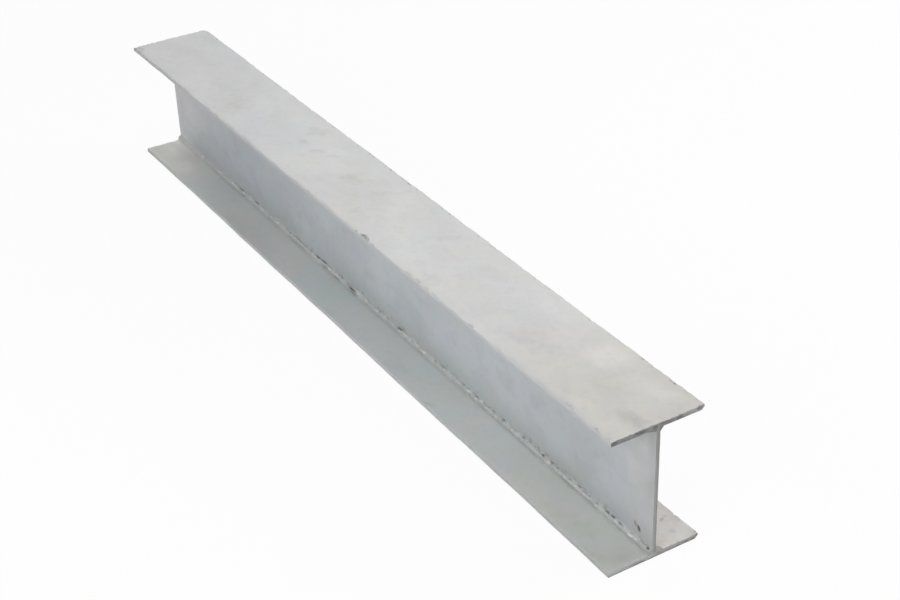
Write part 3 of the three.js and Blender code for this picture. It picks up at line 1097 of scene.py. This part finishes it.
def bead_block(node):
    """Block with its crown edge rounded off, from the plates' corner out to both toes."""
    low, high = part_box(node)
    web_low, web_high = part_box(WEB)
    is_right = low.y > 0.0
    at_foot = low.z < (cad_low.z + cad_high.z) / 2
    root_z = SEAM_TOP if at_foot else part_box(TOP_FLANGE)[0].z
    root = Vector((low.x, web_high.y if is_right else web_low.y, root_z))
    tip = Vector((high.x, high.y if is_right else low.y, high.z if at_foot else low.z))
    piece = box_piece("lumpy_" + node, Vector(map(min, root, tip)), Vector(map(max, root, tip)))

    def is_crown_edge(edge):
        return all((vertex.co.yz - tip.yz).length < 1e-5 for vertex in edge.verts)

    select_parts(piece, "EDGE", is_crown_edge)
    bpy.ops.mesh.bevel(
        offset_type="PERCENT", offset_pct=CROWN_OFFSET, segments=CROWN_STRIPS, profile=CROWN_PROFILE
    )
    go_to("OBJECT")
    return piece, root, tip


def scattered(rng, pitch, length, strongest, lowest, highest):
    """Uneven spots about a pitch apart, between two shares of the way across the bead."""
    spots = []
    x = FAR_END + pitch * rng.random()
    while x < NEAR_END:
        size, strength = length * rng.uniform(0.5, 1.4), strongest * rng.uniform(0.15, 1.0)
        spots.append((x, size, strength, rng.uniform(lowest, highest), rng.uniform(-0.006, 0.006)))
        x += pitch * rng.uniform(0.3, 1.7)
    return spots


def weld_end(settings):
    """Cut end of the beads: dark under the top flange and olive grey at the foot of the web."""
    end = SawnSteel("sawn_weld_end", shade(settings.cut_steel, 0.80), 0.15)
    end.overlay((0.45, 0.445, 0.41), z=(0.05, 0.04))
    return end.finished()


def thinned(rng, spots, share):
    """The spots with only a share of those in the far part, where the large ones stand."""
    return [spot for spot in spots if spot[0] > THIN_UP_TO or rng.random() < share]


def strength_at(x, share, bins):
    """Strength of the spots at a place along the beam and a share of the way across the bead."""
    strongest = 0.0
    for middle, length, strength, height, lean in bins.get(round(x * BINS_PER_METRE), ()):
        along = (x - middle - lean * (share - height)) / length
        across = (share - height) / SPOT_REACH
        fading = 1.0 - smooth_step(math.hypot(along, across), 0.15, 1.0)
        strongest = max(strongest, strength * fading)
    return strongest


def bead_levels(place, corner, seed, settings, is_left_foot, has_trim, pits, drops):
    """Heights and paints at a place on the bead, whose corner is its root, reach and rise."""
    root, reach, rise = corner
    x = place.x
    out, up = abs(place.y - root.y) / reach, abs(place.z - root.z) / rise
    share = math.atan2(up, out) / (math.pi / 2)  # 0 at the flange's toe and 1 at the web's toe
    is_off_plates = min(out, up) > 0.01
    trimmed = smooth_step(x, *TRIM_SPAN) if has_trim else 0.0
    on_face = (1.0 - trimmed) * (is_off_plates and max(out, up) > 0.3)
    middle = on_face * math.sin(math.pi * share)
    wave = noise.noise(Vector((x * 95.0, seed, 0.0)))
    slow = noise.noise(Vector((x * 22.0, seed, 9.0)))
    begun = smooth_step(x, *BEGIN_SPAN) if is_left_foot else 1.0
    crest = on_face * begun * bell(share, CREST_SHARE + 0.14 * wave + 0.08 * slow, 0.15)
    crest *= max(0.0, 0.25 + 1.4 * noise.noise(Vector((x * 140.0, seed, 4.0))))
    bow = settings.ripple_bow * (1.0 - (2.0 * share - 1.0) ** 2)
    phase = (x - bow + 0.0006 * wave) / settings.ripple_pitch
    pit = on_face * begun * strength_at(x, share, pits)
    drop = on_face * begun * strength_at(x, share, drops)
    near = smooth_step(x, *CLEAN_SPAN)
    # Painted shade along the toe on the flange, stronger towards the near end.
    toe = (0.32 + 0.28 * near) * bell(share, 0.15, 0.19) * (0.8 + 0.9 * slow)
    return {
        "face": middle ** 0.5,
        "ridge": crest,
        "lumps": middle,
        "ripples": middle * (0.5 + 0.5 * math.cos(2.0 * math.pi * phase)),
        "drops": drop,
        "pits": pit,
        "hollow": trimmed * math.sin(math.pi * share) * is_off_plates,
        "out": trimmed * out,
        "up": trimmed * up,
        # Painted highlight along the crest and on the drops, which also sets their gloss.
        "shine": min(1.0, 0.45 * crest + 0.8 * drop),
        "toe": min(1.0, max(0.0, on_face * begun * toe)),
        "pit": min(1.0, 1.1 * pit),
    }


def lumpy_bead(piece, node, root, tip, settings, seed):
    """Ridge, lumps, ripples, drops and pits on the bead's face, and what they are painted by."""
    rng = random.Random(seed)
    pits = scattered(rng, settings.pit_pitch, 0.0030, 0.50, 0.62, 1.0)
    drops = scattered(rng, settings.drop_pitch, 0.0030, 0.6, 0.40, 0.85)
    is_left_foot = node == LEFT_FOOT_BEAD
    if is_left_foot:
        pits = thinned(rng, pits, 0.35) + list(LARGE_PITS)
        drops = thinned(rng, drops, 0.40) + list(LARGE_DROPS)
    corner = root, abs(tip.y - root.y), abs(tip.z - root.z)
    marks = node in NEAR_TRIMS, in_bins(pits), in_bins(drops)
    points = [
        bead_levels(vertex.co, corner, seed, settings, is_left_foot, *marks)
        for vertex in piece.data.vertices
    ]
    levels = {name: [point[name] for point in points] for name in points[0]}

    ends = end_points(piece)
    wrap_to_node(piece, node, weight_group(piece, "face", levels["face"]))
    out_trim, drop_trim = NEAR_TRIMS.get(node, (0.0, 0.0))
    reliefs = [
        ("ridge", settings.ridge),
        ("lumps", settings.lump, "NORMAL", settings.lump_size),
        ("lumps", -0.5 * settings.lump),
        ("ripples", settings.ripple),
        ("drops", settings.drop),
        ("pits", -settings.pit),
    ]
    if node in NEAR_TRIMS:
        reliefs += [
            ("hollow", -TRIM_HOLLOW),
            ("out", math.copysign(1.0, tip.y) * out_trim, "Y"),
            ("up", math.copysign(1.0, tip.z - root.z) * drop_trim, "Z"),
        ]
    for name, *step in reliefs:
        relief(piece, name, levels[name], *step)
    flatten_ends(piece, ends)
    for name in ("shine", "toe", "pit"):
        paint_attribute(piece, name, levels[name])


class BEAM_OT_weld_beads(bpy.types.Operator):
    """Model the fillet welds with their ripples, lumps and pits, and painted shade along their toes
    """

    bl_idname = "beam.weld_beads"
    bl_label = "Weld Beads"

    def execute(self, context):
        settings = context.scene.beam_welds
        finish = context.scene.beam_finish
        coat = weld_zinc("weld_zinc", finish.weld_zinc, finish.soot)
        sawn_end = weld_end(finish)
        for seed, node in enumerate(BEADS, start=FIRST_SEED):
            piece, root, tip = bead_block(node)
            slice_along(piece, settings.station)
            lumpy_bead(piece, node, root, tip, settings, seed)
            hand_over(piece, node, coat, sawn_end, SMOOTH_BEAD)
        return {"FINISHED"}


# ---- Stage ----


def white_where_seen(tree, lit, white, share):
    """Mixes white into a shader, but only where the camera, gloss or glass looks at it."""
    rays = add_node(tree, "LightPath").outputs
    seen = rays["Is Camera Ray"]
    for kind in ("Is Glossy Ray", "Is Transmission Ray"):
        seen = work_out(tree, "MAXIMUM", seen, rays[kind])
    inputs = {0: work_out(tree, "MULTIPLY", seen, share), 1: lit.outputs[0], 2: white.outputs[0]}
    return add_node(tree, "MixShader", inputs).outputs[0]


def white_floor(settings):
    deselect_all()
    bpy.ops.mesh.primitive_plane_add(size=settings.floor_width, location=(0.0, 0.0, cad_low.z))
    floor = bpy.context.object
    floor.name = "studio_floor"
    paper = bpy.data.materials.new("white_paper")
    paper.use_nodes = True
    tree = paper.node_tree
    lit = tree.nodes["Principled BSDF"]
    feed(lit, {"Base Color": (0.92, 0.92, 0.92), "Roughness": 0.9, "Specular IOR Level": 0.0})
    white = add_node(tree, "Emission")
    surface = white_where_seen(tree, lit, white, settings.floor_white)
    feed(tree.nodes["Material Output"], {"Surface": surface})
    floor.data.materials.append(paper)


def white_air(scene, settings):
    world = bpy.data.worlds.new("studio_air")
    world.use_nodes = True
    scene.world = world
    tree = world.node_tree
    air = tree.nodes["Background"]
    feed(air, {"Color": WHITE, "Strength": settings.ambient})
    white = add_node(tree, "Background", {"Color": WHITE})
    feed(tree.nodes["World Output"], {"Surface": white_where_seen(tree, air, white, 1.0)})


def soft_lamp(name, place, aim, width, power):
    deselect_all()
    bpy.ops.object.light_add(type="AREA", location=place)
    lamp = bpy.context.object
    lamp.name = name
    lamp.data.shape = "SQUARE"
    lamp.data.size = width
    lamp.data.energy = power
    lamp.rotation_euler = (Vector(place) - Vector(aim)).to_track_quat("Z", "Y").to_euler()


def camera_matrix(settings):
    """Turns the camera about the origin, and then moves it along its own axes."""
    turn = Matrix.Rotation(settings.azimuth, 4, "Z")
    turn @= Matrix.Rotation(math.pi / 2 - settings.elevation, 4, "X")
    turn @= Matrix.Rotation(settings.roll, 4, "Z")
    return turn @ Matrix.Translation((settings.aside, settings.upward, settings.distance))


# Lamps, each with its place, its aim and its width. Their powers are settings.
LAMPS = {
    "overhead_lamp": ((0.15, 0.0, 1.7), (0.15, 0.0, 0.1), 1.3),
    "far_lamp": ((-2.4, 0.9, 1.1), (-0.2, 0.0, 0.1), 1.2),
    "right_lamp": ((0.6, 2.4, 1.2), (0.1, 0.0, 0.1), 1.6),
    "left_lamp": ((0.2, -1.3, 0.9), (0.2, 0.0, 0.1), 0.7),
    "near_lamp": ((1.0, -1.3, 1.0), (0.25, 0.0, 0.1), 0.8),
}


class BEAM_OT_stage(bpy.types.Operator):
    """Set up the pale floor, the soft light and the camera"""

    bl_idname = "beam.stage"
    bl_label = "Stage"

    def execute(self, context):
        settings = context.scene.beam_stage
        scene = context.scene
        white_floor(settings)
        white_air(scene, settings)
        for name, (place, aim, width) in LAMPS.items():
            soft_lamp(name, place, aim, width, getattr(settings, name))
        deselect_all()
        bpy.ops.object.camera_add()
        camera = context.object
        camera.name = "studio_camera"
        camera.matrix_world = camera_matrix(settings)
        camera.data.sensor_width = 36.0
        camera.data.lens = settings.lens
        camera.data.clip_start = 0.05
        camera.data.clip_end = 50.0
        camera.data.dof.use_dof = False
        scene.camera = camera
        scene.view_settings.view_transform = "Standard"
        return {"FINISHED"}


# ---- Panel, registration and the making in order ----

SETTING_GROUPS = {
    "beam_plates": PlateSettings,
    "beam_welds": WeldSettings,
    "beam_finish": FinishSettings,
    "beam_stage": StageSettings,
}
OPERATORS = (BEAM_OT_flange_plates, BEAM_OT_web_plate, BEAM_OT_weld_beads, BEAM_OT_stage)


def list_settings(layout, settings):
    for key in settings.__annotations__:
        layout.prop(settings, key, text=key.replace("_", " ").capitalize())


class VIEW3D_PT_i_beam(bpy.types.Panel):
    """Lists the beam's operators and the settings that they read"""

    bl_label = "I-Beam"
    bl_idname = "VIEW3D_PT_i_beam"
    bl_space_type = "VIEW_3D"
    bl_region_type = "UI"
    bl_category = "I-Beam"

    def draw(self, context):
        groups = ("beam_plates", None, "beam_welds", "beam_stage")
        for operator, name in zip(OPERATORS, groups):
            box = self.layout.box()
            box.operator(operator.bl_idname)
            if name:
                list_settings(box, getattr(context.scene, name))
        list_settings(self.layout, context.scene.beam_finish)


def register():
    for name, group in SETTING_GROUPS.items():
        bpy.utils.register_class(group)
        setattr(bpy.types.Scene, name, bpy.props.PointerProperty(type=group))
    for cls in (*OPERATORS, VIEW3D_PT_i_beam):
        bpy.utils.register_class(cls)


def unregister():
    for cls in (VIEW3D_PT_i_beam, *reversed(OPERATORS)):
        bpy.utils.unregister_class(cls)
    for name, group in SETTING_GROUPS.items():
        delattr(bpy.types.Scene, name)
        bpy.utils.unregister_class(group)


def main():
    register()
    bpy.ops.beam.flange_plates()
    bpy.ops.beam.web_plate()
    bpy.ops.beam.weld_beads()
    bpy.ops.beam.stage()


if __name__ == "__main__":
    main()
